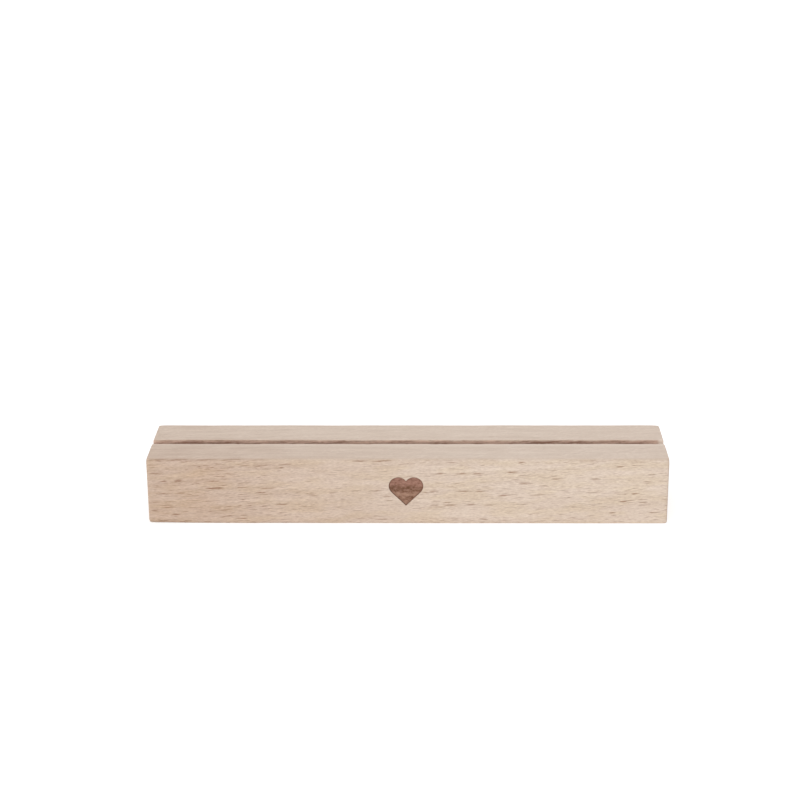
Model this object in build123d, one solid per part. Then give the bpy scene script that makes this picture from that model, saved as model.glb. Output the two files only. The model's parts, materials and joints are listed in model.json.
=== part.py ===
from build123d import *

import math
import os

# Wooden photo block holder: a bar of beech that lies on its broad side, with a sawn slot along its top
# that a photo card or a thin photo board stands in, and a small heart burned into its front face.
# Frame: X runs along the bar, -Y is the front with the heart, Z is up.
# The origin is the middle of the footprint, on the surface that the bar rests on. Millimetres and degrees.

# The bar
bar_length = 150.0
bar_depth = 28.0
bar_height = 20.0
arris_radius = 0.8

# The slot, measured from the front face and down from the top
slot_width = 3.0
slot_depth = 10.0
front_land = 12.25
slot_arris_radius = 0.3

# The heart: two round lobes whose flanks run straight down to one point
lobe_radius = 2.7
lobe_spacing = 4.5
tip_angle = 90.0
heart_shift = 0.3
burn_recess = 0.2
char_thickness = 0.3

# How far a cutting shape runs past the surface that it cuts
overrun = 5.0

# Two places count as one where they differ by less than this share of the size they are compared on
tolerance_share = 1e-6


def tip_drop():
    """How far the heart's point lies below the centres of its lobes, with flanks tangent to the lobes."""
    half_angle = math.radians(tip_angle / 2)
    return (lobe_radius + lobe_spacing / 2 * math.cos(half_angle)) / math.sin(half_angle)


def front_plane(depth=0.0):
    """Drawing plane of the heart, a depth behind the front face: its X runs along the bar and its Y is up.

    Its origin is midway between the lobe centres, so that the heart's height is centred on the face.
    """
    lobe_height = bar_height / 2 + (tip_drop() - lobe_radius) / 2
    return Plane(
        origin=(-heart_shift, depth - bar_depth / 2, lobe_height),
        x_dir=(1, 0, 0),
        z_dir=(0, -1, 0),
    )


def heart_outline():
    """The heart as a flat face: a straight flank and one lobe arc, mirrored about the upright centre line."""
    lobe_offset = lobe_spacing / 2
    notch_height = math.sqrt(lobe_radius**2 - lobe_offset**2)
    flank_angle = -tip_angle / 2
    notch_angle = math.degrees(math.atan2(notch_height, -lobe_offset))
    lobe = CenterArc((lobe_offset, 0), lobe_radius, flank_angle, notch_angle - flank_angle)
    flank = Line((0, -tip_drop()), lobe @ 0)
    right_half = Curve() + [flank, lobe]
    return make_face(right_half + mirror(right_half, about=Plane.YZ))


def heart_slab(front_depth, thickness):
    """A slab of the heart's outline that starts at a depth behind the front face and runs inwards."""
    return extrude(front_plane(front_depth) * heart_outline(), amount=-thickness)


def slot_cutter():
    """The sawn slot, open at the top and at both ends of the bar."""
    return Pos(0, front_land - bar_depth / 2, bar_height - slot_depth) * Box(
        bar_length + 2 * overrun,
        slot_width,
        slot_depth + overrun,
        align=(Align.CENTER, Align.MIN, Align.MIN),
    )


def on_slot_mouth(edge):
    """True for an edge where the top face meets a wall of the slot."""
    middle = edge @ 0.5
    slot_front = front_land - bar_depth / 2
    walls = (slot_front, slot_front + slot_width)
    at_wall = any(math.isclose(middle.Y, wall, abs_tol=tolerance_share * slot_width) for wall in walls)
    at_top = math.isclose(middle.Z, bar_height, abs_tol=tolerance_share * bar_height)
    return at_wall and at_top


def beech_block():
    """The bar with eased arrises, its slot with eased lips, and the sunk bed of the burned heart."""
    bar = Box(bar_length, bar_depth, bar_height, align=(Align.CENTER, Align.CENTER, Align.MIN))
    bar = fillet(bar.edges(), arris_radius)
    bar -= slot_cutter()
    bar = fillet(bar.edges().filter_by(on_slot_mouth), slot_arris_radius)
    return bar - heart_slab(-overrun, overrun + burn_recess + char_thickness)


def burned_heart():
    """The charred wood of the heart, which fills the bottom of its sunk bed."""
    return heart_slab(burn_recess, char_thickness)


def main():
    os.makedirs("parts", exist_ok=True)
    pieces = {"beech_block": beech_block(), "burned_heart": burned_heart()}
    for name, piece in pieces.items():
        export_step(piece, os.path.join("parts", name + ".step"))
        print(name, "volume", round(piece.volume, 1), "valid", piece.is_valid)


main()
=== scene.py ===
"""Looks of the wooden photo block holder.

A low bar of beech lies on its broad side. A sawn slot runs along its top, open at both ends, for a photo
card or a thin board, and a small heart is burned into its front face. The file is laid out as an add-on
and run as a script: one operator makes the bar, one the heart and one the stage. Sizes are in metres,
or in millimetres where a comment says so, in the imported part's frame: X runs along the bar, -Y is the
front with the heart, Z is up.
"""

import json
import math

import bmesh
import bpy
import numpy as np
from bpy.props import FloatProperty, FloatVectorProperty, IntProperty, PointerProperty
from mathutils import Matrix, Vector


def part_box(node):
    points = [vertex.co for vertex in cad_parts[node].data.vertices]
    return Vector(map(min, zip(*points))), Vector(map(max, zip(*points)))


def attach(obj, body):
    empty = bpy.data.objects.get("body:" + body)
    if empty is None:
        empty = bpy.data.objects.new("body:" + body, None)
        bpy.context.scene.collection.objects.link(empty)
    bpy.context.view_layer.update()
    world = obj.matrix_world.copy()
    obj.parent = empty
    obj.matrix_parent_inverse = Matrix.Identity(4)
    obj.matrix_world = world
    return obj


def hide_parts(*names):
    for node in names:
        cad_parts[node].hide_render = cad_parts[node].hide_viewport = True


bl_info = {
    "name": "Wooden photo block holder",
    "version": (1, 0, 0),
    "blender": (4, 5, 0),
    "location": "View3D > Sidebar > Photo Block",
    "description": "Builds a slotted beech bar with a burned heart around its packed part",
    "category": "Add Mesh",
}

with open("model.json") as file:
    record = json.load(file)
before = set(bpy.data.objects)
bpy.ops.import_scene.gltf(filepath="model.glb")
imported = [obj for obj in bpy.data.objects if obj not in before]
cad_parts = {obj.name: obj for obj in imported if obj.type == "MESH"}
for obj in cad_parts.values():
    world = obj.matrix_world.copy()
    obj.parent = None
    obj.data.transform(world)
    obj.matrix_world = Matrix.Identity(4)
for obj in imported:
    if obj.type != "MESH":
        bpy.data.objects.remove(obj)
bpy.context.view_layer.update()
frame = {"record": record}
MILLIMETRE = 0.001

BAR_LOW, BAR_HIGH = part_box("beech_block")
HEART_LOW, HEART_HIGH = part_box("burned_heart")
HEART_MIDDLE_X = (HEART_LOW.x + HEART_HIGH.x) / 2
SLOT_FLOOR = next(m["pos_m"] for m in frame["record"]["mounts"] if m["name"] == "photo_slot")


def length_setting(name, description, millimetres):
    """A length, given here in millimetres and kept in metres."""
    default = millimetres * MILLIMETRE
    return FloatProperty(name=name, description=description, default=default, unit="LENGTH")


def share_setting(name, description, default):
    """A share of another size."""
    return FloatProperty(name=name, description=description, default=default, subtype="FACTOR")


def angle_setting(name, description, degrees):
    """An angle, given here in degrees and kept in radians."""
    return FloatProperty(name=name, description=description, default=math.radians(degrees), subtype="ANGLE")


def colour_setting(name, description, *default):
    """A colour, as it is read on a screen."""
    return FloatVectorProperty(name=name, description=description, default=default, subtype="COLOR_GAMMA")


class BarSettings(bpy.types.PropertyGroup):
    """Sizes of the beech bar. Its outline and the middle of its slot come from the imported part."""

    front_arris: length_setting("Front Arris", "Radius of the edge between the front and the top", 0.9)
    rear_arris: length_setting("Rear Arris", "Radius of the edge between the rear and the top", 0.6)
    foot_arris: length_setting("Foot Arris", "Radius of the crisper edges along the underside", 0.4)
    left_end_arris: length_setting("Left End Arris", "Radius of the edge all round the left end", 0.5)
    right_end_arris: length_setting("Right End Arris", "Radius of the edge all round the right end", 0.5)
    left_end_trim: length_setting("Left End Trim", "How much the sanding took off the left end", 0.1)
    arris_wander_share: share_setting("Arris Wander", "How far an arris wanders, as a share of it", 0.14)
    corner_growth: share_setting(
        "Corner Growth", "How much larger an arris is at a blunted corner, as a share of its radius", 0.7
    )
    corner_reach: length_setting("Corner Reach", "How far from an end the corners are blunted", 2.6)
    left_foot_wear: share_setting(
        "Left Foot Wear", "How much rounder the foot arrises are at the left end, as a share of them", 1.6
    )
    left_foot_reach: length_setting(
        "Left Foot Reach", "How far from the left end the foot arrises start to grow rounder", 25
    )
    least_radius_share: share_setting(
        "Least Radius", "Smallest radius of an arris on the end arrises, as a share of its radius", 0.3
    )
    slot_width: length_setting("Slot Width", "Width of the sawn slot", 3.0)
    slot_flare: length_setting("Slot Flare", "How far the slot's walls open at the bar's ends", 0.25)
    lip_radius: length_setting("Lip Radius", "Radius of the eased edges at the slot's mouth", 0.2)
    chip_size: length_setting("Chip Size", "How far the largest chips reach back from the lips", 0.3)
    station_step: length_setting("Station Step", "Distance between two cross sections along the bar", 0.36)


class HeartSettings(bpy.types.PropertyGroup):
    """Sizes of the burned heart. Its place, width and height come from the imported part."""

    bed_clearance: length_setting(
        "Bed Clearance", "Gap between the charred wood and its bed, which keeps the faces apart", 0.008
    )
    burn_relief: length_setting(
        "Burn Relief", "How much deeper the beam went in the soft bands of the wood than in the hard", 0.035
    )
    window_margin: length_setting(
        "Window Margin", "How far at most the reworked patch of the front reaches past the heart", 1.5
    )
    outline_steps: IntProperty(
        name="Outline Steps",
        description="Number of points on one half of the heart's outline",
        default=120,
    )


class WoodSettings(bpy.types.PropertyGroup):
    """Colours of the bare and the burned beech, as they are read on a screen."""

    pale: colour_setting("Pale Wood", "Cream of the right end of the bar", 0.886, 0.811, 0.746)
    # The tan towards the left end is partly the wood's tone and partly painted shade
    tan: colour_setting("Tan Wood", "Warmer tone of the left end of the bar", 0.808, 0.705, 0.630)
    straw: colour_setting("Straw Patches", "Yellow tint of soft patches on the front", 1.0, 0.999, 0.976)
    spindle: colour_setting("Ray Spindle", "Brown tint of the short ray flecks", 0.665, 0.525, 0.430)
    # Also the colour of the painted highlight on the front lip and of the painted light at the slot's right
    # end
    lip: colour_setting("Slot Lip", "Freshly sanded wood along the slot's front lip", 0.915, 0.845, 0.785)
    sawn: colour_setting("Sawn Wood", "Paler stripes of the slot's walls", 0.885, 0.770, 0.695)
    # Saw scorch and painted shade in the slot, together
    scorch_and_shade: colour_setting(
        "Scorched Wood", "Brown stripes of the slot's walls, which the saw rubbed hot", 0.620, 0.480, 0.410
    )
    char: colour_setting("Charred Wood", "Paler brown of the burned heart", 0.700, 0.552, 0.472)
    rosy_char: colour_setting("Rosy Char", "Redder brown of the heart's two lobes", 0.680, 0.510, 0.448)
    dark_char: colour_setting(
        "Dark Char", "Darkest bands of the burned heart and its rim", 0.440, 0.300, 0.220
    )


class StageSettings(bpy.types.PropertyGroup):
    """The camera, the even light from all round, and the floor."""

    camera_place: FloatVectorProperty(
        name="Camera Place",
        description="Where the camera stands",
        default=(0.00810, -0.51670, 0.21966),
        subtype="TRANSLATION",
    )
    camera_pitch: angle_setting("Camera Pitch", "How far the camera looks down", 19.864)
    camera_yaw: angle_setting("Camera Yaw", "How far the camera looks to the right of ahead", -1.134)
    camera_roll: angle_setting("Camera Roll", "How far the camera leans to the left", -0.401)
    focal_length_mm: FloatProperty(
        name="Focal Length",
        description="Focal length of the lens in millimetres, on a sensor 36 mm wide",
        default=85.09,
    )
    room_light: FloatProperty(
        name="Room Light",
        description="Strength of the even white light from all round",
        default=0.632,
    )
    floor_colour: colour_setting("Floor Colour", "Colour of the pale floor", 0.93, 0.93, 0.93)


def linear(colour):
    """A colour read on a screen as the linear light that a shader takes, by the sRGB curve."""
    shares = np.array(colour[:3])
    low, high = shares / 12.92, ((shares + 0.055) / 1.055) ** 2.4
    return (*np.where(shares <= 0.04045, low, high).tolist(), 1.0)


# The sines of a random wave: how often each runs in one period, and what their sum is divided by
WAVE_ORDERS = np.array([1.0, 1.7, 2.6, 4.0])
WAVE_REACH = 1.6

# Square roots of the shortest and the shallowest chip, as shares of the longest and the deepest
SHORT_CHIP_ROOT, SHALLOW_CHIP_ROOT = 0.15, 0.1


def wander(places, period, seed):
    """A gentle random wave along a line, about -1 to 1: a sum of four sines whose periods run from one to a
    quarter of the given one, each with a random phase and a height that falls with its period."""
    phases = np.random.default_rng(seed).uniform(0, 2 * np.pi, len(WAVE_ORDERS))
    waves = np.sin(2 * np.pi * places[..., None] * WAVE_ORDERS / period + phases) / WAVE_ORDERS
    return waves.sum(-1) / WAVE_REACH


def chips(places, count, longest, seed):
    """Depth of torn chips along a line, 0 to 1: at each place the deepest of a number of random chips, each
    a parabola that falls from its own depth at its middle to nothing at its two ends."""
    draw = np.random.default_rng(seed)
    middles = draw.uniform(places.min(), places.max(), count)
    halves = longest / 2 * draw.uniform(SHORT_CHIP_ROOT, 1.0, count) ** 2
    depths = draw.uniform(SHALLOW_CHIP_ROOT, 1.0, count) ** 2
    shares = (places[:, None] - middles) / halves
    return (depths * np.clip(1 - shares**2, 0, 1)).max(-1)


def smooth_step(values, low, high):
    """0 below low, 1 above high, and a cubic S between them: 3 s squared less 2 s cubed."""
    share = np.clip((values - low) / (high - low), 0, 1)
    return share * share * (3 - 2 * share)


# How finely the surfaces are divided: along an end arris, a round corner, a side, a bottom and a land
END_STEPS, CORNER_STEPS, SIDE_STEPS, FLOOR_STEPS, LAND_STEPS = 8, 6, 26, 10, 8

# Shares of the way across a land at which its inner points lie, closer together at its two ends
LAND_EASE = 0.1
LAND_SHARES = smooth_step(np.linspace(0, 1, LAND_STEPS + 1), -LAND_EASE, 1 + LAND_EASE)[1:-1]

# Directions in a cross section, in degrees, and a quarter turn
REARWARDS, UPWARDS, FRONTWARDS, DOWNWARDS = 0, 90, 180, 270
QUARTER = 90

# How the four arrises along the bar wander: over which length, and the first one's seed
ARRIS_PERIOD, ARRIS_SEED = 35 * MILLIMETRE, 11

# Chips of the front and the rear lip: how many, how long the longest is, and their seed
LIP_CHIPS = ((90, 5 * MILLIMETRE, 21), (30, 5 * MILLIMETRE, 22))

# Radius of the slot's two bottom corners, as a share of its lips' radius
SLOT_FOOT_SHARE = 0.5


def stations(bar):
    """Places of the cross sections along X, and how far the outline is drawn in at each.

    The left end stands in by its trim. Between the end arrises the sections are even on each side of the
    heart's middle, so that one of them runs through it. On an end arris of radius R, at angle a, the place
    is R times (1 less sin a) short of the end and the outline is drawn in by R times (1 less cos a).
    """
    turns = np.linspace(0, np.pi / 2, END_STEPS + 1)[1:]
    left, right = bar.left_end_arris, bar.right_end_arris
    low, high = BAR_LOW.x + bar.left_end_trim + left, BAR_HIGH.x - right
    left_run, right_run = (
        np.linspace(start, end, round((end - start) / bar.station_step) + 1)
        for start, end in ((low, HEART_MIDDLE_X), (HEART_MIDDLE_X, high))
    )
    places = np.concatenate(
        [low - left * np.sin(turns[::-1]), left_run, right_run[1:], high + right * np.sin(turns)]
    )
    level = np.zeros(len(left_run) + len(right_run) - 1)
    drawn_in = np.concatenate([left * (1 - np.cos(turns[::-1])), level, right * (1 - np.cos(turns))])
    return places, drawn_in


def corner(y, z, radius, start, turn=QUARTER):
    """A round corner of every section: centre plus radius times (cos a, sin a), as a turns from start."""
    angles = np.radians(start + turn * np.linspace(0, 1, CORNER_STEPS + 1))
    ring = np.stack([np.cos(angles), np.sin(angles)], -1)
    return np.stack([y, z], -1)[:, None, :] + radius[:, None, None] * ring


def between(start, end, shares):
    """Points on a straight line of every section: start plus share times (end less start)."""
    return start[:, None, :] + shares[None, :, None] * (end - start)[:, None, :]


def chain(corners):
    """Joins four round corners by a side, a bottom and a side into one open line for every section."""
    line = [corners[0]]
    for before, after, steps in zip(corners, corners[1:], (SIDE_STEPS, FLOOR_STEPS, SIDE_STEPS)):
        line += [between(before[:, -1], after[:, 0], np.arange(1, steps) / steps), after]
    return np.concatenate(line, 1)


def outer_line(bar, places, drawn_in):
    """The outside of every section, from the top down the front, along the bottom and up the rear.

    Each corner is a quarter circle whose radius wanders along the bar. Towards an end it grows, because
    sanding blunts the bar's eight corners, and shrinks by as much as the outline is drawn in, down to a
    least radius. Both follow the square of the share of the corner's reach that is passed. The foot is
    rounder towards the left end, by the square of the share of its own reach.
    """
    front, rear = BAR_LOW.y + drawn_in, BAR_HIGH.y - drawn_in
    bottom, top = BAR_LOW.z + drawn_in, BAR_HIGH.z - drawn_in
    end_gap = np.minimum(places - BAR_LOW.x, BAR_HIGH.x - places)
    near_end = np.clip(1 - end_gap / bar.corner_reach, 0, 1) ** 2
    worn = 1 + bar.left_foot_wear * np.clip(1 - (places - BAR_LOW.x) / bar.left_foot_reach, 0, 1) ** 2
    sizes = ((bar.front_arris, 1), (bar.foot_arris, worn), (bar.foot_arris, worn), (bar.rear_arris, 1))
    radii = []
    for seed, (size, wear) in enumerate(sizes, ARRIS_SEED):
        radius = size * (1 + bar.arris_wander_share * wander(places, ARRIS_PERIOD, seed)) * wear
        radius = radius + (bar.corner_growth * size - drawn_in) * near_end
        radii.append(np.maximum(radius, bar.least_radius_share * size))
    corners = [
        corner(front + radii[0], top - radii[0], radii[0], UPWARDS),
        corner(front + radii[1], bottom + radii[1], radii[1], FRONTWARDS),
        corner(rear - radii[2], bottom + radii[2], radii[2], DOWNWARDS),
        corner(rear - radii[3], top - radii[3], radii[3], REARWARDS),
    ]
    return chain(corners)


def slot_line(bar, places, drawn_in):
    """The slot of every section, from its front lip down, along its floor and up to its rear lip.

    A lip is a quarter circle whose radius grows where the saw tore a chip. Near an end the walls flare
    outwards by a share of the end arris.
    """
    flare = bar.slot_flare * drawn_in / drawn_in.max()
    front = SLOT_FLOOR[1] - bar.slot_width / 2 - flare
    rear = SLOT_FLOOR[1] + bar.slot_width / 2 + flare
    top = BAR_HIGH.z - drawn_in
    floor = SLOT_FLOOR[2] * np.ones_like(places)
    small = SLOT_FOOT_SHARE * bar.lip_radius * np.ones_like(places)
    front_lip, rear_lip = (bar.lip_radius + bar.chip_size * chips(places, *lip) for lip in LIP_CHIPS)
    corners = [
        corner(front - front_lip, top - front_lip, front_lip, UPWARDS, -QUARTER),
        corner(front + small, floor + small, small, FRONTWARDS),
        corner(rear - small, floor + small, small, DOWNWARDS),
        corner(rear + rear_lip, top - rear_lip, rear_lip, FRONTWARDS, -QUARTER),
    ]
    return chain(corners)


def half_heart(steps):
    """The heart's right half from its tip to its notch, as (x, z) about the middle between its lobes.

    A flank at 45 degrees runs tangent into the lobe's circle, and the points are even along both. From the
    heart's width w and height h, the lobes' radius R is (h - w / 2) / sqrt 2 and they stand w - 2 R apart.
    """
    width, height = HEART_HIGH.x - HEART_LOW.x, HEART_HIGH.z - HEART_LOW.z
    radius = (height - width / 2) / math.sqrt(2)
    offset = width / 2 - radius
    tip_drop = radius * math.sqrt(2) + offset
    touch = np.array([offset, 0]) + radius * np.array([1, -1]) / math.sqrt(2)
    flank = math.hypot(touch[0], touch[1] + tip_drop)
    start, end = -math.pi / 4, math.acos(-offset / radius)
    along = np.linspace(0, flank + radius * (end - start), steps + 1)
    share = np.clip(along / flank, 0, 1)[:, None]
    on_flank = (1 - share) * np.array([0, -tip_drop]) + share * touch
    angle = start + np.clip(along - flank, 0, None) / radius
    on_lobe = np.stack([offset + radius * np.cos(angle), radius * np.sin(angle)], -1)
    return np.where((along <= flank)[:, None], on_flank, on_lobe), radius


def heart_ring(half_steps):
    """The whole outline as a ring of (x, z), counted upwards on the right from the tip and back."""
    half, radius = half_heart(half_steps)
    half[-1, 0] = half[0, 0] = 0.0
    ring = np.concatenate([half, (half * (-1, 1))[-2:0:-1]])
    return ring + (HEART_MIDDLE_X, HEART_HIGH.z - radius)


def ring_distance(points, ring):
    """Distance of each (x, z) from a closed ring of short straight pieces: the least over all pieces of the
    distance from the point to the nearest place on the piece."""
    start, run = ring, np.roll(ring, -1, 0) - ring
    away = points[:, None, :] - start
    share = np.clip((away * run).sum(-1) / (run * run).sum(-1), 0, 1)[..., None]
    return np.linalg.norm(away - share * run, axis=-1).min(-1)


def at_depth(rings, depth):
    """Rings of (x, z) as points with a Y of the given depth."""
    return np.insert(rings, 1, depth, axis=-1)


def numbered(rows, columns, first=0):
    """Numbers of a grid's points, counted along its rows from the first one."""
    return first + np.arange(rows * columns).reshape(rows, columns)


def strips(rows, closed=False):
    """Quads between neighbouring rows of point numbers, along which a closed row joins its own start."""
    if closed:
        rows = np.concatenate([rows, rows[:, :1]], 1)
    return np.stack([rows[:-1, :-1], rows[:-1, 1:], rows[1:, 1:], rows[1:, :-1]], -1).reshape(-1, 4)


# Points that are nearer to each other than this are merged, and edges that bend more than this stay sharp
MERGE_DISTANCE = MILLIMETRE / 10000
SHARP_BEND = math.radians(35)


def add_object(name, data):
    """A new object in the scene that shows the given mesh, camera or lamp."""
    made = bpy.data.objects.new(name, data)
    bpy.context.scene.collection.objects.link(made)
    return made


def new_piece(name, points, faces, marks):
    """A smooth mesh object from points and quads, with sharp edges kept and a value at each point for each
    mark. Points that no quad uses are left out, and those that coincide are merged, so that poles close."""
    used, numbers = np.unique(faces, return_inverse=True)
    mesh = bpy.data.meshes.new(name)
    mesh.from_pydata(points[used].tolist(), [], numbers.reshape(faces.shape).tolist())
    for mark, values in marks.items():
        layer = mesh.attributes.new(mark, "FLOAT", "POINT")
        layer.data.foreach_set("value", np.asarray(values, np.float32)[used])
    merged = bmesh.new()
    merged.from_mesh(mesh)
    bmesh.ops.remove_doubles(merged, verts=merged.verts, dist=MERGE_DISTANCE)
    merged.to_mesh(mesh)
    merged.free()
    mesh.shade_smooth()
    mesh.set_sharp_from_angle(angle=SHARP_BEND)
    return add_object(name, mesh)


# Rings of points round the heart: shares of the way from the window's edge to the outline, shares of the
# way down the bed's wall, and sizes of the rings on its floor, as shares of the outline
BED_FACE_SHARES = (0.3, 0.55, 0.75, 0.87, 0.94, 0.98, 1.0)
BED_WALL_SHARES = (0.33, 0.66, 1.0)
BED_FLOOR_SHARES = (0.6, 0.2, 0.0)

# How far the smoke reaches past the heart's outline
SMOKE_REACH = 0.05 * MILLIMETRE


def front_window(places, section, margin):
    """The block of quads on the front face that the heart's patch takes the place of.

    Returns the section numbers of its left side, middle and right side, and the point numbers, along a
    section, of its top and bottom. The window is looked for among a section's first points, which run
    from the top to a little under the heart.
    """
    low, high = (np.array([end.x, end.z]) for end in (HEART_LOW, HEART_HIGH))
    centre, half = (low + high) / 2, (high - low) / 2 + margin
    middle = int(np.abs(places - centre[0]).argmin())
    reach = int(round(half[0] / (places[middle + 1] - places[middle])))
    heights = section[middle, :SIDE_STEPS, 1]
    top = int(np.abs(heights - centre[1] - half[1]).argmin())
    bottom = int(np.abs(heights - centre[1] + half[1]).argmin())
    return middle - reach, middle, middle + reach, top, bottom


def window_ring(window, numbers):
    """Point numbers round the window, seen from the front: from the middle of its bottom edge to the right,
    up, along the top to the left, down, and back."""
    left, middle, right, top, bottom = window
    return np.concatenate(
        [
            numbers[middle:right, bottom],
            numbers[right, bottom:top:-1],
            numbers[right:left:-1, top],
            numbers[left, top:bottom],
            numbers[left:middle, bottom],
        ]
    )


def heart_bed(window_points):
    """The patch of the front face round the heart, and the sunk bed under it, as rings of points.

    On the face, a ring is the window's edge plus a share of the way to the heart's outline. Then the
    outline goes straight down into the wood, and on the bed's floor it shrinks to a point.
    """
    outline = heart_ring(len(window_points) // 2)
    face, floor = BAR_LOW.y, HEART_HIGH.y
    burn_depth = HEART_LOW.y - face
    edge, centre = window_points[:, (0, 2)], outline.mean(0)
    rings = [at_depth(edge + share * (outline - edge), face) for share in BED_FACE_SHARES]
    rings += [at_depth(outline, face + burn_depth * share) for share in BED_WALL_SHARES]
    rings += [at_depth(outline, floor)]
    rings += [at_depth(centre + share * (outline - centre), floor) for share in BED_FLOOR_SHARES]
    return np.stack(rings), outline


def build_bar(bar, heart):
    """The beech bar: its section, a thick U, is swept through the stations and closed by a cap at each end,
    and a patch with the heart's bed takes the place of a window in its front face.

    A cap lies between the outside and the slot of the last section: outside plus share times (slot less
    outside), which spans the U as one grid.
    """
    places, drawn_in = stations(bar)
    outside = outer_line(bar, places, drawn_in)
    slot = slot_line(bar, places, drawn_in)
    front_land = between(outside[:, 0], slot[:, 0], LAND_SHARES)
    rear_land = between(outside[:, -1], slot[:, -1], LAND_SHARES)
    section = np.concatenate([outside, rear_land, slot[:, ::-1], front_land[:, ::-1]], 1)

    count, around = section.shape[:2]
    points = np.concatenate([np.broadcast_to(places[:, None, None], (count, around, 1)), section], -1)
    end_points = {0: points[0], -1: points[-1]}
    numbers = numbered(count, around)
    window = front_window(places, section, heart.window_margin)
    kept = np.ones((count - 1, around), bool)
    kept[window[0] : window[2], window[3] : window[4]] = False
    side_faces = strips(numbers, closed=True)[kept.ravel()]

    points = points.reshape(-1, 3)
    edge_numbers = window_ring(window, numbers)
    bed, outline = heart_bed(points[edge_numbers])
    bed_numbers = numbered(*bed.shape[:2], len(points))
    bed_faces = strips(np.concatenate([edge_numbers[None], bed_numbers]), closed=True)
    bed_points = bed.reshape(-1, 3)

    slot_start = outside.shape[1] + rear_land.shape[1]
    walls = slice(slot_start, slot_start + slot.shape[1])
    unmarked, no_bed_mark = np.zeros(numbers.size), np.zeros(bed_numbers.size)
    char = 1 - smooth_step(ring_distance(bed_points[:, (0, 2)], outline), 0, SMOKE_REACH)
    marks = {
        "sawn": [saw_mark(section, places, walls).ravel(), no_bed_mark],
        "lip": [lip_highlight_mark(section, places, walls).ravel(), no_bed_mark],
        "char": [unmarked, char],
    }
    all_points, all_faces = [points, bed_points], [side_faces, bed_faces]
    for station, loop_points in end_points.items():
        first = sum(len(p) for p in all_points)
        cap_points, cap_faces = end_cap(numbers[station], loop_points, first, outside.shape[1])
        all_points.append(cap_points)
        all_faces.append(cap_faces if station == 0 else cap_faces[:, ::-1])
        for values in marks.values():
            values.append(np.zeros(len(cap_points)))
    marks = {mark: np.concatenate(values) for mark, values in marks.items()}
    return new_piece("bar", np.concatenate(all_points), np.concatenate(all_faces), marks)


def end_cap(loop, loop_points, first, line_count):
    """A cap's new points and its quads, from the point numbers and places of an end section.

    The grid's first column is the outside, its last column the slot, and its first and last rows are the
    lands, which the section has already. The quads face left.
    """
    slot_start = line_count + len(LAND_SHARES)
    slot = slice(slot_start, slot_start + line_count)
    inner = between(loop_points[:line_count][1:-1], loop_points[slot][::-1][1:-1], LAND_SHARES)
    grid = np.empty((line_count, LAND_STEPS + 1), int)
    grid[:, 0], grid[:, -1] = loop[:line_count], loop[slot][::-1]
    grid[-1, 1:-1] = loop[line_count:slot_start]
    grid[0, 1:-1] = loop[slot.stop :][::-1]
    grid[1:-1, 1:-1] = numbered(*inner.shape[:2], first)
    return inner.reshape(-1, 3), strips(grid)


# The saw's brown under the slot's mouth, partly painted shade: width of its soft edge, and depth and draw
# of its ragged chips
SAWN_EDGE, SAWN_RAGGED = 0.22 * MILLIMETRE, 0.2 * MILLIMETRE
SAWN_CHIPS = (60, 9 * MILLIMETRE, 23)

# Where the slot is sanded clean and pale, with painted light as if it came in at the open right end:
# distances from the right end and from the top, between which that fades
CLEAN_AND_LIT_END = (0.9 * MILLIMETRE, 2.0 * MILLIMETRE)
CLEAN_AND_LIT_DEPTH = (1.2 * MILLIMETRE, 3.0 * MILLIMETRE)

# The front lip's painted highlight: how pale it is at the left, how much that grows to the right, between
# which places, and how much of it the lip's last three points and the land's first one have
LIP_HIGHLIGHT, LIP_HIGHLIGHT_GROWTH = 0.35, 0.55
LIP_HIGHLIGHT_PLACES = (-60 * MILLIMETRE, 20 * MILLIMETRE)
LIP_HIGHLIGHT_SHARES = np.array([0.3, 0.7, 1.0, 0.8])


def sanded_and_lit_end(places):
    """How clean the slot is sanded and how much painted light falls in at its open end: 1 at the bar's
    right end, 0 from a little further in.
    """
    return 1 - smooth_step(BAR_HIGH.x - places, *CLEAN_AND_LIT_END)[:, None]


def saw_mark(section, places, walls):
    """1 on the slot's walls and floor, where their brown is partly painted shade, 0 outside and at the
    sanded right end, with the lips between them. The bar's end faces have none."""
    mark = np.zeros(section.shape[:2])
    ragged = SAWN_RAGGED * chips(places, *SAWN_CHIPS)[:, None]
    depth = BAR_HIGH.z - section[:, walls, 1] - ragged
    mark[:, walls] = smooth_step(depth, 0, SAWN_EDGE) * (1 - sanded_and_lit_end(places))
    mark[[0, -1]] = 0
    return mark


def lip_highlight_mark(section, places, walls):
    """How pale the slot is painted: the top of its sanded right end, with painted light from the open end,
    and its front lip, a painted highlight, most where that meets the land and more towards the right end.
    The bar's end faces have none."""
    mark = np.zeros(section.shape[:2])
    depth = BAR_HIGH.z - section[:, walls, 1]
    mark[:, walls] = sanded_and_lit_end(places) * (1 - smooth_step(depth, *CLEAN_AND_LIT_DEPTH))
    lip_highlight = LIP_HIGHLIGHT + LIP_HIGHLIGHT_GROWTH * smooth_step(places, *LIP_HIGHLIGHT_PLACES)
    front_lip = slice(walls.stop + 1 - len(LIP_HIGHLIGHT_SHARES), walls.stop + 1)
    mark[:, front_lip] = np.maximum(mark[:, front_lip], lip_highlight[:, None] * LIP_HIGHLIGHT_SHARES)
    mark[[0, -1]] = 0
    return mark


# Dark bands of the burned heart: lowest and highest point above the bar's foot and width of the soft edge,
# in millimetres, and strength
BURN_BANDS = ((9.4, 12.1, 0.7, 1.0), (6.9, 8.8, 0.9, 0.8))

# How far the bands waver, in millimetres, and the length and seed of that wave
BAND_WAVER, BAND_WAVE = 0.15, (5 * MILLIMETRE, 33)

# Waves of the burned face: their share, how many times closer they lie upwards than along, length and seed
BURN_SHARE, BURN_SLANT, BURN_WAVE = 0.5, 3, (3 * MILLIMETRE, 32)

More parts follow.
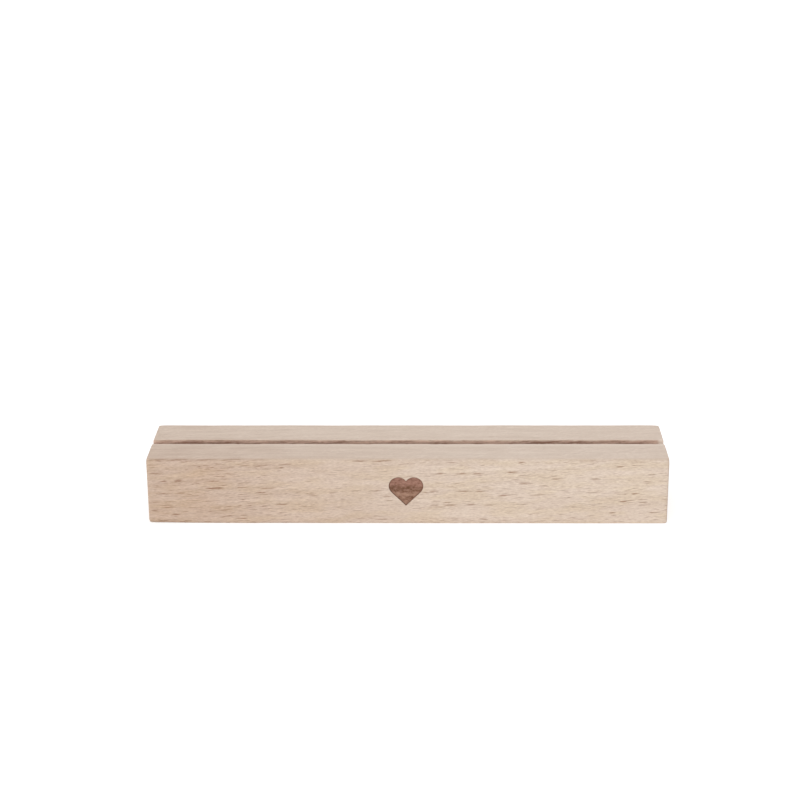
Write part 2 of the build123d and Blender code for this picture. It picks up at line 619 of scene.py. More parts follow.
# Over which width the relief fades out at the heart's rim
RIM_FADE = 0.4 * MILLIMETRE

# Steps from the rim of the burned face to its middle, and how many of them make one on the slab's back
FACE_STEPS, BACK_EVERY = 40, 8


def burn_bands(along, height):
    """How darkly the heart is burned, 0 to 1: bands with soft edges that waver along the grain."""
    height = height / MILLIMETRE + BAND_WAVER * wander(along, *BAND_WAVE)
    burn = np.zeros_like(height)
    for low, high, edge, strength in BURN_BANDS:
        inside = smooth_step(height, low, low + edge) * (1 - smooth_step(height, high - edge, high))
        burn = np.maximum(burn, strength * inside)
    return burn


def build_heart(heart):
    """The charred wood of the heart, as a thin closed slab in its bed.

    Each ring is the heart's middle plus a share of the way out to the outline. The face is burned deeper in
    bands along the grain and in a sum of random waves, faded out at the rim.
    """
    outline = heart_ring(heart.outline_steps)
    centre = outline.mean(0)
    inset = 1 - heart.bed_clearance / np.linalg.norm(outline - centre, axis=1).max()
    shares = inset * np.linspace(1, 0, FACE_STEPS + 1)[:, None, None]
    flat = centre + shares * (outline - centre)
    along, height = flat[..., 0], flat[..., 1]
    rim = ring_distance(flat.reshape(-1, 2), outline).reshape(flat.shape[:2])
    burn = burn_bands(along, height)
    waves = burn - 0.5 + BURN_SHARE * wander(along + BURN_SLANT * height, *BURN_WAVE)
    relief = heart.burn_relief * waves * smooth_step(rim, 0, RIM_FADE)
    face = np.stack([along, HEART_LOW.y + heart.burn_relief + relief, height], -1)
    back = at_depth(flat[::BACK_EVERY], HEART_HIGH.y - heart.bed_clearance)[::-1]
    rings = np.concatenate([back, face])
    marks = {
        "rim_mm": np.concatenate([rim[::BACK_EVERY][::-1], rim]).ravel() / MILLIMETRE,
        "burn": np.concatenate([burn[::BACK_EVERY][::-1], burn]).ravel(),
    }
    faces = strips(numbered(*rings.shape[:2]), closed=True)
    return new_piece("heart", rings.reshape(-1, 3), faces, marks)


class Shader:
    """The nodes of a material or of the world, written as short expressions. A value is a number, a tuple
    of numbers or a node's output."""

    def __init__(self, owner):
        owner.use_nodes = True
        self.owner, self.tree = owner, owner.node_tree
        self.tree.nodes.clear()

    def node(self, kind, inputs, **settings):
        """A new node with its settings, and with its inputs fed."""
        made = self.tree.nodes.new(kind)
        for setting, value in settings.items():
            setattr(made, setting, value)
        for socket, value in inputs.items():
            self.feed(made.inputs[socket], value)
        return made

    def feed(self, socket, value):
        """Links a node's output to a socket, or sets its own value."""
        if isinstance(value, bpy.types.NodeSocket):
            self.tree.links.new(value, socket)
        else:
            socket.default_value = value

    def math(self, operation, *values):
        """A sum, or another operation, of numbers."""
        return self.node("ShaderNodeMath", dict(enumerate(values)), operation=operation).outputs[0]

    def line(self, value, slope, start):
        """The value times a slope, plus a start."""
        return self.math("MULTIPLY_ADD", value, slope, start)

    def product(self, *values):
        """All the values multiplied together."""
        total = values[0]
        for value in values[1:]:
            total = self.math("MULTIPLY", total, value)
        return total

    def vector(self, operation, *values):
        """An operation on vectors."""
        made = self.node("ShaderNodeVectorMath", dict(enumerate(values)), operation=operation)
        return made.outputs["Value" if operation == "LENGTH" else "Vector"]

    def scaled(self, vector, factor):
        """A vector times a number."""
        made = self.node("ShaderNodeVectorMath", {0: vector, "Scale": factor}, operation="SCALE")
        return made.outputs[0]

    def split(self, vector):
        """The three parts of a vector."""
        return self.node("ShaderNodeSeparateXYZ", {0: vector}).outputs[:3]

    def joined(self, x, y, z):
        """A vector of three parts."""
        return self.node("ShaderNodeCombineXYZ", {0: x, 1: y, 2: z}).outputs[0]

    def noise(self, place, size, detail=2.0, roughness=0.5, colour=False):
        """Cloudy noise from 0 to 1 whose clouds have the given size along each axis of the place."""
        place = self.vector("DIVIDE", place, size)
        inputs = {"Vector": place, "Scale": 1.0, "Detail": detail, "Roughness": roughness}
        return self.node("ShaderNodeTexNoise", inputs).outputs["Color" if colour else "Fac"]

    def about_one(self, pattern, depth):
        """A pattern of 0 to 1 as a factor that goes as far above 1 as below it, by the given depth."""
        return self.line(self.line(pattern, 2.0, -1.0), depth, 1.0)

    def step(self, value, low, high, to_low=0.0, to_high=1.0, kind="SMOOTHSTEP"):
        """A smooth S, or a straight ramp, from to_low at the value low to to_high at the value high."""
        inputs = {"Value": value, 1: low, 2: high, 3: to_low, 4: to_high}
        return self.node("ShaderNodeMapRange", inputs, interpolation_type=kind).outputs[0]

    def mix(self, share, first, second, blend="MIX"):
        """A share of the second colour over the first."""
        inputs = {0: share, 6: first, 7: second}
        return self.node("ShaderNodeMix", inputs, data_type="RGBA", blend_type=blend).outputs[2]

    def mark(self, name):
        """The value that the piece's points carry under a name."""
        return self.node("ShaderNodeAttribute", {}, attribute_name=name).outputs["Fac"]

    def finish(self, colour, roughness, height, relief_mm, specular):
        """The surface itself, with a fine relief. Returns the material."""
        relief = {"Strength": 1.0, "Distance": relief_mm * MILLIMETRE, "Height": height}
        look = {"Base Color": colour, "Roughness": roughness, "Specular IOR Level": specular}
        look["Normal"] = self.node("ShaderNodeBump", relief).outputs[0]
        surface = self.node("ShaderNodeBsdfPrincipled", look)
        self.node("ShaderNodeOutputMaterial", {"Surface": surface.outputs[0]}, is_active_output=True)
        return self.owner


# Where the log's pith runs behind the bar, how far it is from the front, and how the grain wavers and
# climbs. Lengths are in millimetres.
PITH = (0.0, 75.0, 4.0)
PITH_TO_FRONT = PITH[1] - BAR_LOW.y / MILLIMETRE
WAVER_SIZE = (38.0, 16.0, 16.0)
WAVER_ROUGHNESS = 0.55
WAVER_REACH = (0.0, 3.0, 2.6)
GRAIN_CLIMB = 0.045
NOISE_MIDDLE = (0.5, 0.5, 0.5)

# Sizes of the wood's patterns in millimetres: along the grain, out from the pith and round it
RING_SIZE = (150.0, 2.2, 25.0)
STREAK_SIZE = (22.0, 1.5, 0.72)
FIBRE_SIZE = (5.0, 0.4, 0.38)
VESSEL_SIZE = (1.0, 0.4, 0.3)
FRAY_SIZE = (1.8, 1.0, 0.5)
PATCH_SIZE = (12.0, 6.0, 2.6)
ROW_SIZE = (40.0, 8.0, 2.0)
END_RING_SIZE = (150.0, 2.6, 40.0)
END_RING_SPACING = 2.3
END_RAY_SIZE = (150.0, 9.0, 0.4)
PORE_SIZE = (0.3, 0.13, 0.13)

# How far each pattern makes the wood lighter and darker. The rows' number, and the first of two, are times
# how flat the wood is cut there, and the second of two is added.
RING_DEPTH = 0.03
ROW_DEPTH = -0.075
STREAK_DEPTH = (-0.03, 0.20)
FIBRE_DEPTH = 0.04
VESSEL_DEPTH = (0.14, 0.12)
FLECK_RIM_DEPTH = 0.06
# Painted shade on the arrises: darker where the normal leans halfway between up and front or back
ARRIS_SHADE_DEPTH = -0.14

# Steps between two values of what they follow, and the two values that they take there, 0 and 1 where none
# are given. The first three follow the normal's part along Y, X and Y.
FLAT_CUT = (0.3, 0.9)
END_CUT = (0.6, 0.97)
FRONT_CUT = (-0.3, -0.8)

# These follow the place along X, or for the land along Y, in millimetres
VIVID_STREAKS = (-10.0, -50.0, 0.60, 1.05)
STRONG_FLECKS = (-10.0, -50.0, 0.70, 1.05)
# Tan towards the left end: partly the wood's tone, partly painted shade, darker away from light from the
# right
TAN_AND_SHADE_LEFT = (45.0, -95.0)
WARM_LAND = (2.0, -8.0, 0.3, 0.65)
WARM_RIGHT = (-30.0, 50.0, 0.0, 0.13)

# The first three follow a pattern, the clouds of warmth as a slope and a start. The last follows the
# normal's part along Y.
WARM_CLOUDS = (0.5, -0.25)
STRAW_CLOUDS = (0.4, 0.65)
CROWDED_ROWS = (0.3, 0.65, 0.4, 1.0)
FLAT_FLECKS = (0.7, 0.97, 0.08, 0.98)

# End grain: unevenness of the rings, depth of their bands, steps of a ring's line, a ray and a pore, and
# how far the brown tints it
END_UNEVENNESS, END_BAND_DEPTH = 9.0, 0.16
END_LINE = (0.3, 1.0, 1.0, 0.90)
END_RAY = (0.52, 0.70, 1.0, 1.09)
END_PORE = (0.30, 0.45, 0.88, 1.0)
END_BROWN = 0.55

# How far a fleck's edge is frayed, in millimetres, and how strongly red, green and blue follow the tone
FRAY_REACH = 0.2
TONE_TINT = (0.85, 1.05, 1.2)
ONE_LESS_TINT = tuple(1 - share for share in TONE_TINT)

# The slot's walls: sizes of the saw's stripes and of the mottle along the bar, across it and up, climb of
# the stripes, roughness of both patterns, slope and start of the stripes, and the step between the browns
SAW_STRIPE_SIZE = (9.0, 2.0, 0.6)
SAW_MOTTLE_SIZE = (1.3, 1.0, 0.5)
SAW_CLIMB, SAW_STRIPE_ROUGHNESS, SAW_MOTTLE_ROUGHNESS = 0.1, 0.55, 0.6
SAW_STRIPES = (2.0, -1.1)
SAW_BROWNS = (-0.1, 1.1)

# Painted shade deeper in the slot: a step to browner wood below its mouth, by the height in millimetres
SHADE_BELOW_MOUTH = (19.5, 18.9, 0.0, 0.2)

# The bare wood's finish: slope and start of its roughness, what the slot adds to that, depth of a fleck,
# relief in millimetres, shine, and how dark the smoked rim is
BEECH_ROUGHNESS = (0.16, 0.5)
SAWN_ROUGHNESS, FLECK_RELIEF = 0.2, -0.5
BEECH_RELIEF_MM, BEECH_SHINE, SMOKE_SHARE = 0.03, 0.35, 0.85

# The burned wood: size, detail and roughness of its fibres and its mottle, strength of the fibres and of
# the bands, slope and start of the mottle, and the step between the browns
CHAR_FIBRE = ((4.0, 2.0, 0.6), 3.0, 0.6)
CHAR_MOTTLE = ((0.9, 1.0, 0.7), 3.0, 0.65)
CHAR_FIBRES, CHAR_BANDS = 1.8, 0.65
CHAR_MOTTLING = (3.6, -2.7)
CHAR_BROWNS = (-0.5, 1.2)

# Steps of its dark rim, by the distance from the outline, and of its rosy lobes, by the height, both in
# millimetres, then slope and start of its roughness, its relief in millimetres and its shine
CHAR_RIM = (0.0, 0.5, 0.75, 0.0)
ROSY_LOBES = (9.5, 12.5)
CHAR_ROUGHNESS = (0.15, 0.68)
CHAR_RELIEF_MM, CHAR_SHINE = 0.02, 0.25

# Ray flecks, three sizes: cell along the grain and round the pith, half length, half height, share of the
# cells that stay empty, and strength. Then how far a row of cells is slid along, as a share of a cell.
FLECKS = (
    (6.0, 0.78, 2.8, 0.13, 0.35, 1.1),
    (4.0, 0.52, 1.8, 0.10, 0.25, 0.85),
    (2.4, 0.34, 1.1, 0.07, 0.20, 0.55),
)
FLECK_SLIDE = 0.41

# How freely a fleck lies in its cell, slopes and starts of its random length and thickness, and the step to
# the edge of its cell
FLECK_SCATTER = 0.9
FLECK_LENGTH, FLECK_THICKNESS = (0.7, 0.5), (0.7, 0.6)
FLECK_CELL_FADE = (0.0, 0.12)

# Steps by the distance from a fleck's middle: its dark lens fades out, and its pale rim fades in and out
FLECK_LENS = (0.3, 1.1)
FLECK_RIM_IN, FLECK_RIM_OUT = (0.9, 1.4), (1.6, 3.2)

# Soft warm patches of the front, listed in millimetres: middle along the bar, height, half length,
# half height, and strength. Then where their soft edge starts and ends, and their tint.
WARM_PATCHES = (
    (-57.0, 15.0, 6.8, 3.6, 1.0),
    (-66.0, 11.0, 4.5, 2.6, 0.6),
    (-60.5, 6.5, 6.0, 3.6, 0.7),
    (-71.5, 4.5, 4.0, 3.5, 0.7),
)
WARM_EDGE = (0.6, 1.3)
WARM_TINT = (0.985, 0.96, 0.925, 1.0)

# The strongest flecks of the front, listed in millimetres: middle along the bar, height, half
# length, and strength. The renderer takes about twice as many in one material, and no more.
FRONT_MARKS = (
    # The first five run along the front arris and draw a dark line there, painted shade
    (-70.5, 19.75, 3.2, 0.55),
    (-64.5, 19.75, 3.8, 0.65),
    (-57.5, 19.75, 3.8, 0.55),
    (-50.0, 19.75, 3.6, 0.45),
    (-43.0, 19.75, 3.0, 0.4),
    (-73.0, 4.1, 1.0, 0.6),
    (-69.0, 5.0, 2.0, 0.6),
    (-67.0, 2.7, 1.2, 0.7),
    (-66.0, 13.3, 1.1, 0.8),
    (-55.3, 11.0, 2.4, 1.0),
    (-52.8, 4.2, 2.4, 0.5),
    (-46.5, 18.0, 1.5, 0.4),
    (-41.0, 18.1, 3.0, 0.5),
    (-40.3, 11.0, 2.6, 0.5),
    (-36.1, 6.0, 1.9, 0.7),
    (-35.0, 18.3, 2.0, 0.5),
    (-14.8, 10.2, 1.6, 0.5),
    (-13.5, 19.4, 2.0, 0.7),
    (-9.1, 10.2, 2.1, 0.5),
    (-7.3, 1.3, 1.8, 0.6),
    (-7.2, 19.4, 2.9, 0.7),
    (-5.8, 8.4, 1.2, 0.6),
    (7.8, 10.1, 1.2, 0.6),
    (7.8, 5.8, 1.2, 0.6),
    (9.1, 15.5, 1.9, 0.6),
    (12.5, 5.8, 1.8, 0.7),
    (15.5, 15.5, 1.6, 0.7),
    (16.1, 10.1, 1.8, 0.7),
    (18.4, 5.9, 1.3, 0.7),
    (20.3, 15.5, 1.6, 0.7),
    (21.1, 10.1, 1.5, 0.7),
    (23.6, 5.8, 1.3, 0.6),
    (27.6, 8.7, 1.4, 0.7),
    (30.2, 16.0, 1.7, 0.8),
    (32.8, 19.0, 1.0, 0.7),
    (33.8, 12.4, 1.9, 0.7),
    (37.8, 9.0, 2.1, 0.6),
    (42.7, 13.9, 1.3, 0.7),
    (54.0, 13.9, 1.3, 0.7),
    (59.1, 3.4, 1.0, 0.8),
    (61.0, 17.7, 1.2, 0.7),
    (62.0, 6.9, 1.2, 0.7),
    (65.6, 9.4, 1.2, 0.8),
    (67.8, 6.7, 1.2, 0.8),
    (70.0, 15.2, 1.1, 0.7),
    (71.1, 3.5, 1.4, 0.8),
)

# Half height of these flecks in millimetres, how far their length is stretched, and where their soft edge
# starts and ends
MARK_HALF_HEIGHT = 0.2
MARK_STRETCH = 0.85
MARK_EDGE = (0.4, 1.25)


def grain_place(shader):
    """Where a point lies in the log, in millimetres: along the grain, out from the pith and round it.

    The pith runs along X behind the bar, so the front and back are cut along the rings and the top and
    bottom across them. The grain climbs to the right and wavers a little.
    """
    place = shader.scaled(shader.node("ShaderNodeTexCoord", {}).outputs["Object"], 1 / MILLIMETRE)
    waver = shader.noise(place, WAVER_SIZE, roughness=WAVER_ROUGHNESS, colour=True)
    waver = shader.vector("MULTIPLY", shader.vector("SUBTRACT", waver, NOISE_MIDDLE), WAVER_REACH)
    x, y, z = shader.split(shader.vector("ADD", place, waver))
    across = shader.math("SUBTRACT", y, PITH[1])
    up = shader.line(x, -GRAIN_CLIMB, shader.math("SUBTRACT", z, PITH[2]))
    out = shader.vector("LENGTH", shader.joined(across, up, 0.0))
    turn = shader.math("ARCTAN2", up, shader.product(across, -1.0))
    return place, shader.joined(x, out, shader.product(turn, PITH_TO_FRONT))


def spindles(shader, frayed, cell_length, cell_height, half_length, half_height, empty, strength):
    """Ray flecks of one size, as how dark and how pale they make the wood: one lens in each random cell of
    the sheet that is spread out along the grain and round the pith.

    A lens is where |up| / half height + (along / half length) squared stays under 1, and just outside it
    the wood is a little paler. The cell's own random numbers set its size and how dark it is, and some
    cells stay empty. A lens fades out towards the edge of its cell. Each row of cells is slid along by a
    share of a cell, so that they don't stand in columns.
    """
    along, _, up = shader.split(frayed)
    slid = shader.line(up, FLECK_SLIDE * cell_length / cell_height, along)
    sheet = shader.vector("DIVIDE", shader.joined(slid, up, 0.0), (cell_length, cell_height, 1.0))
    inputs = {"Vector": sheet, "Scale": 1.0, "Randomness": FLECK_SCATTER}
    cells = shader.node("ShaderNodeTexVoronoi", inputs, voronoi_dimensions="2D", feature="F1")
    edges = shader.node("ShaderNodeTexVoronoi", inputs, voronoi_dimensions="2D", feature="DISTANCE_TO_EDGE")
    away_slid, away_up, _ = shader.split(shader.vector("SUBTRACT", sheet, cells.outputs["Position"]))
    away = shader.joined(shader.line(away_up, -FLECK_SLIDE, away_slid), away_up, 0.0)
    away = shader.vector("MULTIPLY", away, (cell_length / half_length, cell_height / half_height, 0.0))
    draw, length, thickness = shader.split(cells.outputs["Color"])
    size = shader.joined(shader.line(length, *FLECK_LENGTH), shader.line(thickness, *FLECK_THICKNESS), 1.0)
    along, up, _ = shader.split(shader.vector("DIVIDE", away, size))
    reach = shader.math("ADD", shader.math("ABSOLUTE", up), shader.product(along, along))
    strength = shader.step(draw, empty, 1.0, 0.0, strength, "LINEAR")
    strength = shader.product(strength, shader.step(edges.outputs["Distance"], *FLECK_CELL_FADE))
    dark = shader.product(shader.step(reach, *FLECK_LENS, 1.0, 0.0), strength)
    rim = (shader.step(reach, *FLECK_RIM_IN), shader.step(reach, *FLECK_RIM_OUT, 1.0, 0.0))
    return dark, shader.product(*rim, strength)


def soft_ellipses(shader, place, ellipses, edge):
    """The strongest of some ellipses, given as the x and z of the middle, a scale along each, and strength.
    One fades out while the length of (place less middle) times scale grows from the edge's start to its
    end."""
    most = 0.0
    for x, z, x_scale, z_scale, strength in ellipses:
        shift = (-x * x_scale, -z * z_scale, 0.0)
        inside = shader.vector("MULTIPLY_ADD", place, (x_scale, z_scale, 0.0), shift)
        reach = shader.vector("LENGTH", inside)
        most = shader.math("MAXIMUM", most, shader.step(reach, *edge, strength, 0.0))
    return most


def front_marks(shader, place, fray):
    """The flecks that are listed one by one: an ellipse each, which leans with the climbing grain and which
    a pattern frays."""
    x, _, z = shader.split(place)
    leaning = shader.joined(x, shader.line(x, -GRAIN_CLIMB, z), 0.0)
    leaning = shader.vector("ADD", leaning, shader.joined(0.0, fray, 0.0))
    ellipses = [
        (along, height - GRAIN_CLIMB * along, MARK_STRETCH / half_length, 1 / MARK_HALF_HEIGHT, strength)
        for along, height, half_length, strength in FRONT_MARKS
    ]
    return soft_ellipses(shader, leaning, ellipses, MARK_EDGE)


def warm_patches(shader, place):
    """The warm patches that are listed one by one: an ellipse each, with a soft edge."""
    x, _, z = shader.split(place)
    ellipses = [(*middle, 1 / length, 1 / height, share) for *middle, length, height, share in WARM_PATCHES]
    return soft_ellipses(shader, shader.joined(x, z, 0.0), ellipses, WARM_EDGE)


def end_grain(shader, place, grain, base, wood):
    """The sawn and sanded ends: darker, with growth rings, thin rays that point at the pith, and pores.

    A ring ends in a thin dark line, where the sine of (2 pi out / spacing + a cloudy unevenness) is near 1.
    """
    bands = shader.noise(grain, END_RING_SIZE, 1.0)
    rays = shader.noise(grain, END_RAY_SIZE, 1.0)
    pores = shader.noise(place, PORE_SIZE, 1.0)
    out = shader.product(shader.split(grain)[1], 2 * math.pi / END_RING_SPACING)
    late = shader.math("SINE", shader.line(bands, END_UNEVENNESS, out))
    tone = shader.product(
        shader.about_one(bands, END_BAND_DEPTH),
        shader.step(late, *END_LINE),
        shader.step(rays, *END_RAY),
        shader.step(pores, *END_PORE),
    )
    darker = shader.mix(END_BROWN, base, linear(wood.spindle), "MULTIPLY")
    return shader.mix(1.0, darker, shader.joined(tone, tone, tone), "MULTIPLY")


def sawn_wood(shader, place, wood):
    """The slot's walls: brown and paler stripes that the saw left at a slant, their brown partly painted
    shade, a finer mottle, and painted shade that makes the wood browner below the mouth."""
    x, y, z = shader.split(place)
    slanting = shader.joined(x, y, shader.line(x, -SAW_CLIMB, z))
    stripes = shader.noise(slanting, SAW_STRIPE_SIZE, roughness=SAW_STRIPE_ROUGHNESS)
    mottle = shader.noise(place, SAW_MOTTLE_SIZE, roughness=SAW_MOTTLE_ROUGHNESS)
    share = shader.math("ADD", mottle, shader.line(stripes, *SAW_STRIPES))
    # Painted shade: browner wood deeper in the slot
    share = shader.math("ADD", share, shader.step(z, *SHADE_BELOW_MOUTH))
    return shader.mix(shader.step(share, *SAW_BROWNS), linear(wood.sawn), linear(wood.scorch_and_shade))


def beech(wood):
    """Bare sanded beech: cream to tan, the tan towards the left end partly painted shade, with growth
    rings, ray flecks, fine fibres, russet streaks, darker end grain, painted shade on the arrises, a
    saw-rubbed slot whose brown is partly painted shade, a painted highlight on its front lip and the smoked
    rim of the heart's bed."""
    shader = Shader(bpy.data.materials.new("beech"))
    place, grain = grain_place(shader)
    x, y, _ = shader.split(place)
    normal = shader.node("ShaderNodeTexCoord", {}).outputs["Normal"]
    facing = shader.split(shader.vector("ABSOLUTE", normal))
    flat_cut = shader.step(facing[1], *FLAT_CUT)
    end_cut = shader.step(facing[0], *END_CUT)
    # Painted shade on the arrises, against the extra light that falls on them
    arris_shade = shader.product(facing[1], facing[2])
    front = shader.step(shader.split(normal)[1], *FRONT_CUT)

    rings = shader.noise(grain, RING_SIZE)
    streaks = shader.noise(grain, STREAK_SIZE)
    fibres = shader.noise(grain, FIBRE_SIZE)
    vessels = shader.noise(grain, VESSEL_SIZE)
    patches = shader.noise(grain, PATCH_SIZE)
    rows = shader.noise(grain, ROW_SIZE)
    vivid = shader.step(x, *VIVID_STREAKS)
    strong = shader.step(x, *STRONG_FLECKS)

    # Tan towards the left end, partly painted shade
    warmth = shader.math("ADD", shader.step(x, *TAN_AND_SHADE_LEFT), shader.line(patches, *WARM_CLOUDS))
    warmth = shader.product(warmth, shader.math("MAXIMUM", flat_cut, shader.step(y, *WARM_LAND)))
    not_flat = shader.math("SUBTRACT", 1.0, flat_cut)
    warmth = shader.line(shader.step(x, *WARM_RIGHT), not_flat, warmth)
    base = shader.mix(warmth, linear(wood.pale), linear(wood.tan))
    yellowing = shader.product(shader.step(patches, *STRAW_CLOUDS), flat_cut)
    base = shader.mix(yellowing, base, linear(wood.straw), "MULTIPLY")
    base = shader.mix(shader.product(warm_patches(shader, place), front), base, WARM_TINT, "MULTIPLY")

    fray = shader.line(shader.noise(grain, FRAY_SIZE, 1.0), 2 * FRAY_REACH, -FRAY_REACH)
    frayed = shader.vector("ADD", grain, shader.joined(0.0, 0.0, fray))
    dark, pale = 0.0, 0.0
    for size in FLECKS:
        more_dark, more_pale = spindles(shader, frayed, *size)
        dark, pale = shader.math("ADD", dark, more_dark), shader.math("ADD", pale, more_pale)
    crowded = shader.step(rows, *CROWDED_ROWS)
    dark = shader.product(dark, crowded, strong, shader.step(facing[1], *FLAT_FLECKS))
    dark = shader.math("MAXIMUM", dark, shader.product(front_marks(shader, place, fray), front))
    dark = shader.math("MINIMUM", dark, 1.0)

    tone = shader.product(
        shader.about_one(rings, RING_DEPTH),
        shader.about_one(rows, shader.product(flat_cut, ROW_DEPTH)),
        shader.about_one(streaks, shader.product(vivid, shader.line(flat_cut, *STREAK_DEPTH))),
        shader.about_one(fibres, FIBRE_DEPTH),
        shader.about_one(vessels, shader.line(flat_cut, *VESSEL_DEPTH)),
        shader.line(pale, FLECK_RIM_DEPTH, 1.0),
        shader.line(arris_shade, ARRIS_SHADE_DEPTH, 1.0),
    )
    tone = shader.vector("MULTIPLY_ADD", shader.joined(tone, tone, tone), TONE_TINT, ONE_LESS_TINT)
    base = shader.mix(1.0, base, tone, "MULTIPLY")
    base = shader.mix(dark, base, linear(wood.spindle), "MULTIPLY")
    base = shader.mix(end_cut, base, end_grain(shader, place, grain, base, wood))

    sawn = shader.mark("sawn")
    # The slot's browns, partly painted shade
    base = shader.mix(sawn, base, sawn_wood(shader, place, wood))
    # Painted highlight on the front lip, and painted light at the slot's sanded right end
    base = shader.mix(shader.mark("lip"), base, linear(wood.lip))
    base = shader.mix(shader.product(shader.mark("char"), SMOKE_SHARE), base, linear(wood.dark_char))

    roughness = shader.line(sawn, SAWN_ROUGHNESS, shader.line(fibres, *BEECH_ROUGHNESS))
    height = shader.line(dark, FLECK_RELIEF, fibres)
    return shader.finish(base, roughness, height, BEECH_RELIEF_MM, BEECH_SHINE)


def charred(wood):
    """Wood burned matt brown: dark and pale bands along the grain, a mottle, and a darker rim."""
    shader = Shader(bpy.data.materials.new("charred_beech"))
    place, grain = grain_place(shader)
    fibres = shader.noise(grain, *CHAR_FIBRE)
    mottle = shader.noise(place, *CHAR_MOTTLE)
    uneven = shader.line(fibres, CHAR_FIBRES, shader.line(mottle, *CHAR_MOTTLING))
    dark = shader.line(shader.mark("burn"), CHAR_BANDS, uneven)
    rim = shader.step(shader.mark("rim_mm"), *CHAR_RIM)
    dark = shader.math("MAXIMUM", shader.step(dark, *CHAR_BROWNS, kind="LINEAR"), rim)
    rosy = shader.step(shader.split(place)[2], *ROSY_LOBES)
    pale = shader.mix(rosy, linear(wood.char), linear(wood.rosy_char))
    colour = shader.mix(dark, pale, linear(wood.dark_char))
    roughness = shader.line(mottle, *CHAR_ROUGHNESS)
    height = shader.math("ADD", mottle, fibres)
    return shader.finish(colour, roughness, height, CHAR_RELIEF_MM, CHAR_SHINE)


def dress(piece, node, material):
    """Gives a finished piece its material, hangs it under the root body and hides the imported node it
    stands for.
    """
    piece.data.materials.append(material)
    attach(piece, "root")
    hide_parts(node)


# The floor: half its side, how far under the bar it lies, and the strength of the white that the eye sees
FLOOR_HALF, FLOOR_DROP = 2.0, 0.02 * MILLIMETRE
FLOOR_GLOW = 0.5
WHITE = (1, 1, 1, 1)

# The camera's sensor in millimetres, and the nearest and farthest that it sees
SENSOR_WIDTH_MM = 36.0
NEAREST, FARTHEST = 0.01, 20.0

# Far soft lights: name, direction that the light comes from, how wide it is in the sky, and strength
LAMPS = (
    ("window", (-0.55, -0.80, 0.24), math.radians(70), 1.5),
    ("rear_fill", (0.50, 0.80, 0.25), math.radians(70), 0.8),
)


def floor_material(settings):
    """Pale floor that keeps the shadow: matt, with a little white of its own for the eye and mirrors."""
    shader = Shader(bpy.data.materials.new("floor"))
    rays = shader.node("ShaderNodeLightPath", {}).outputs
    seen = shader.math("ADD", rays["Is Camera Ray"], rays["Is Glossy Ray"])
    seen = shader.math("MINIMUM", shader.math("ADD", seen, rays["Is Transmission Ray"]), 1.0)
    strength = shader.product(seen, FLOOR_GLOW)
    glow = shader.node("ShaderNodeEmission", {"Color": WHITE, "Strength": strength})
    matt = shader.node("ShaderNodeBsdfDiffuse", {"Color": linear(settings.floor_colour)})
    both = shader.node("ShaderNodeAddShader", {0: matt.outputs[0], 1: glow.outputs[0]})
    shader.node("ShaderNodeOutputMaterial", {"Surface": both.outputs[0]})
    return shader.owner


def build_floor(settings):
    """A flat square, four metres to a side, just under the bar."""
    corners = FLOOR_HALF * np.array([(-1, -1), (1, -1), (1, 1), (-1, 1)])
    points = np.insert(corners, 2, BAR_LOW.z - FLOOR_DROP, axis=1)
    mesh = bpy.data.meshes.new("floor")
    mesh.from_pydata(points.tolist(), [], [(0, 1, 2, 3)])
    mesh.materials.append(floor_material(settings))
    floor = add_object("floor", mesh)


def build_camera(settings):
    """The camera at the photograph's viewing angle: turned by its yaw, tipped by its pitch, then rolled."""
    data = bpy.data.cameras.new("camera")
    data.sensor_width, data.lens = SENSOR_WIDTH_MM, settings.focal_length_mm
    data.clip_start, data.clip_end = NEAREST, FARTHEST
    camera = add_object("camera", data)
    camera.matrix_world = (
        Matrix.Translation(settings.camera_place)
        @ Matrix.Rotation(-settings.camera_yaw, 4, "Z")
        @ Matrix.Rotation(math.pi / 2 - settings.camera_pitch, 4, "X")
        @ Matrix.Rotation(settings.camera_roll, 4, "Z")
    )
    bpy.context.scene.camera = camera


def add_lamp(name, towards, spread, strength):
    """A far soft light, as wide in the sky as its spread, that shines on the bar from a given direction."""
    data = bpy.data.lights.new(name, "SUN")
    data.angle, data.energy = spread, strength
    lamp = add_object(name, data)
    lamp.location = towards
    lamp.rotation_euler = (-Vector(towards)).to_track_quat("-Z", "Y").to_euler()


def build_world(settings):
    """An even white room, which the eye sees as plain white."""
    shader = Shader(bpy.data.worlds.new("room"))
    rays = shader.node("ShaderNodeLightPath", {}).outputs
    seen = {0: rays["Is Camera Ray"], 2: settings.room_light, 3: 1.0}
    strength = shader.node("ShaderNodeMix", seen).outputs[0]
    background = shader.node("ShaderNodeBackground", {"Color": WHITE, "Strength": strength})
    shader.node("ShaderNodeOutputWorld", {"Surface": background.outputs[0]})
    bpy.context.scene.world = shader.owner


class PHOTOBLOCK_OT_bar(bpy.types.Operator):
    """Build the slotted beech bar with the sunk bed of its heart"""

    bl_idname = "photoblock.bar"
    bl_label = "Build Bar"

    def execute(self, context):
        scene = context.scene
        piece = build_bar(scene.photoblock_bar, scene.photoblock_heart)
        dress(piece, "beech_block", beech(scene.photoblock_wood))
        return {"FINISHED"}


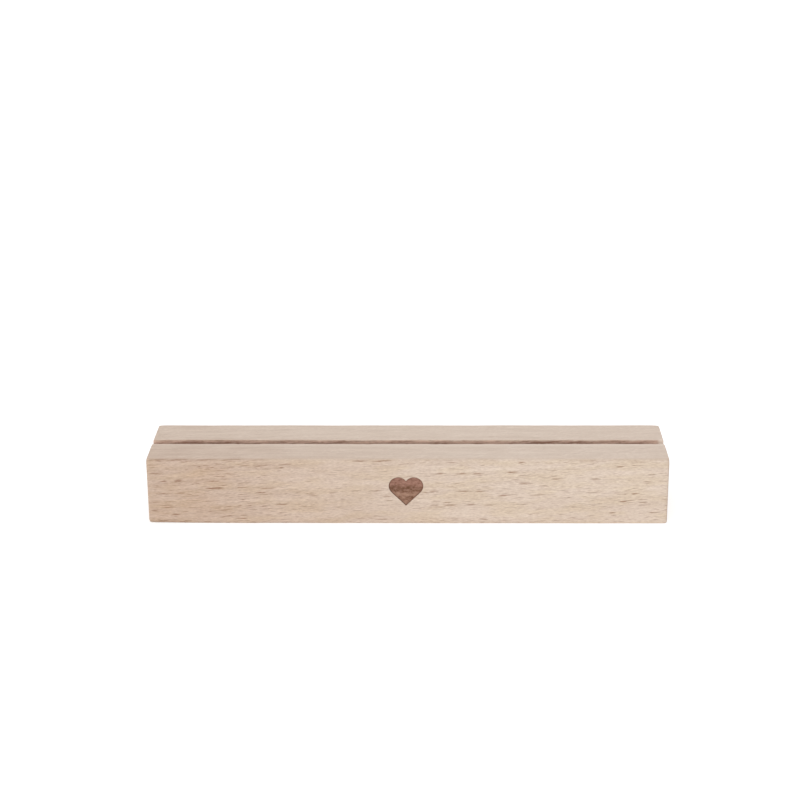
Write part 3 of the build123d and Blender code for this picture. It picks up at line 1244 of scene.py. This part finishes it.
class PHOTOBLOCK_OT_heart(bpy.types.Operator):
    """Build the charred wood of the heart in its bed"""

    bl_idname = "photoblock.heart"
    bl_label = "Build Heart"

    def execute(self, context):
        scene = context.scene
        piece = build_heart(scene.photoblock_heart)
        dress(piece, "burned_heart", charred(scene.photoblock_wood))
        return {"FINISHED"}


class PHOTOBLOCK_OT_stage(bpy.types.Operator):
    """Set the floor, the lights and the camera"""

    bl_idname = "photoblock.stage"
    bl_label = "Set Stage"

    def execute(self, context):
        settings = context.scene.photoblock_stage
        build_floor(settings)
        build_world(settings)
        build_camera(settings)
        for lamp in LAMPS:
            add_lamp(*lamp)
        context.scene.view_settings.view_transform = "Standard"
        return {"FINISHED"}


class PHOTOBLOCK_PT_panel(bpy.types.Panel):
    """Lists the steps that build the photo block holder"""

    bl_label = "Photo Block"
    bl_idname = "PHOTOBLOCK_PT_panel"
    bl_space_type = "VIEW_3D"
    bl_region_type = "UI"
    bl_category = "Photo Block"

    def draw(self, context):
        for operator in OPERATORS:
            self.layout.operator(operator.bl_idname)


SETTINGS = {
    "photoblock_bar": BarSettings,
    "photoblock_heart": HeartSettings,
    "photoblock_wood": WoodSettings,
    "photoblock_stage": StageSettings,
}
OPERATORS = (PHOTOBLOCK_OT_bar, PHOTOBLOCK_OT_heart, PHOTOBLOCK_OT_stage)
CLASSES = (*SETTINGS.values(), *OPERATORS, PHOTOBLOCK_PT_panel)


def register():
    """Makes the settings, the operators and the panel known, and gives each scene its settings."""
    for cls in CLASSES:
        bpy.utils.register_class(cls)
    for name, cls in SETTINGS.items():
        setattr(bpy.types.Scene, name, PointerProperty(type=cls))


def unregister():
    """Takes back what register did, in the opposite order."""
    for name in SETTINGS:
        delattr(bpy.types.Scene, name)
    for cls in reversed(CLASSES):
        bpy.utils.unregister_class(cls)


def main():
    """Builds the bar, the heart and the stage."""
    register()
    bpy.ops.photoblock.bar()
    bpy.ops.photoblock.heart()
    bpy.ops.photoblock.stage()


if __name__ == "__main__":
    main()
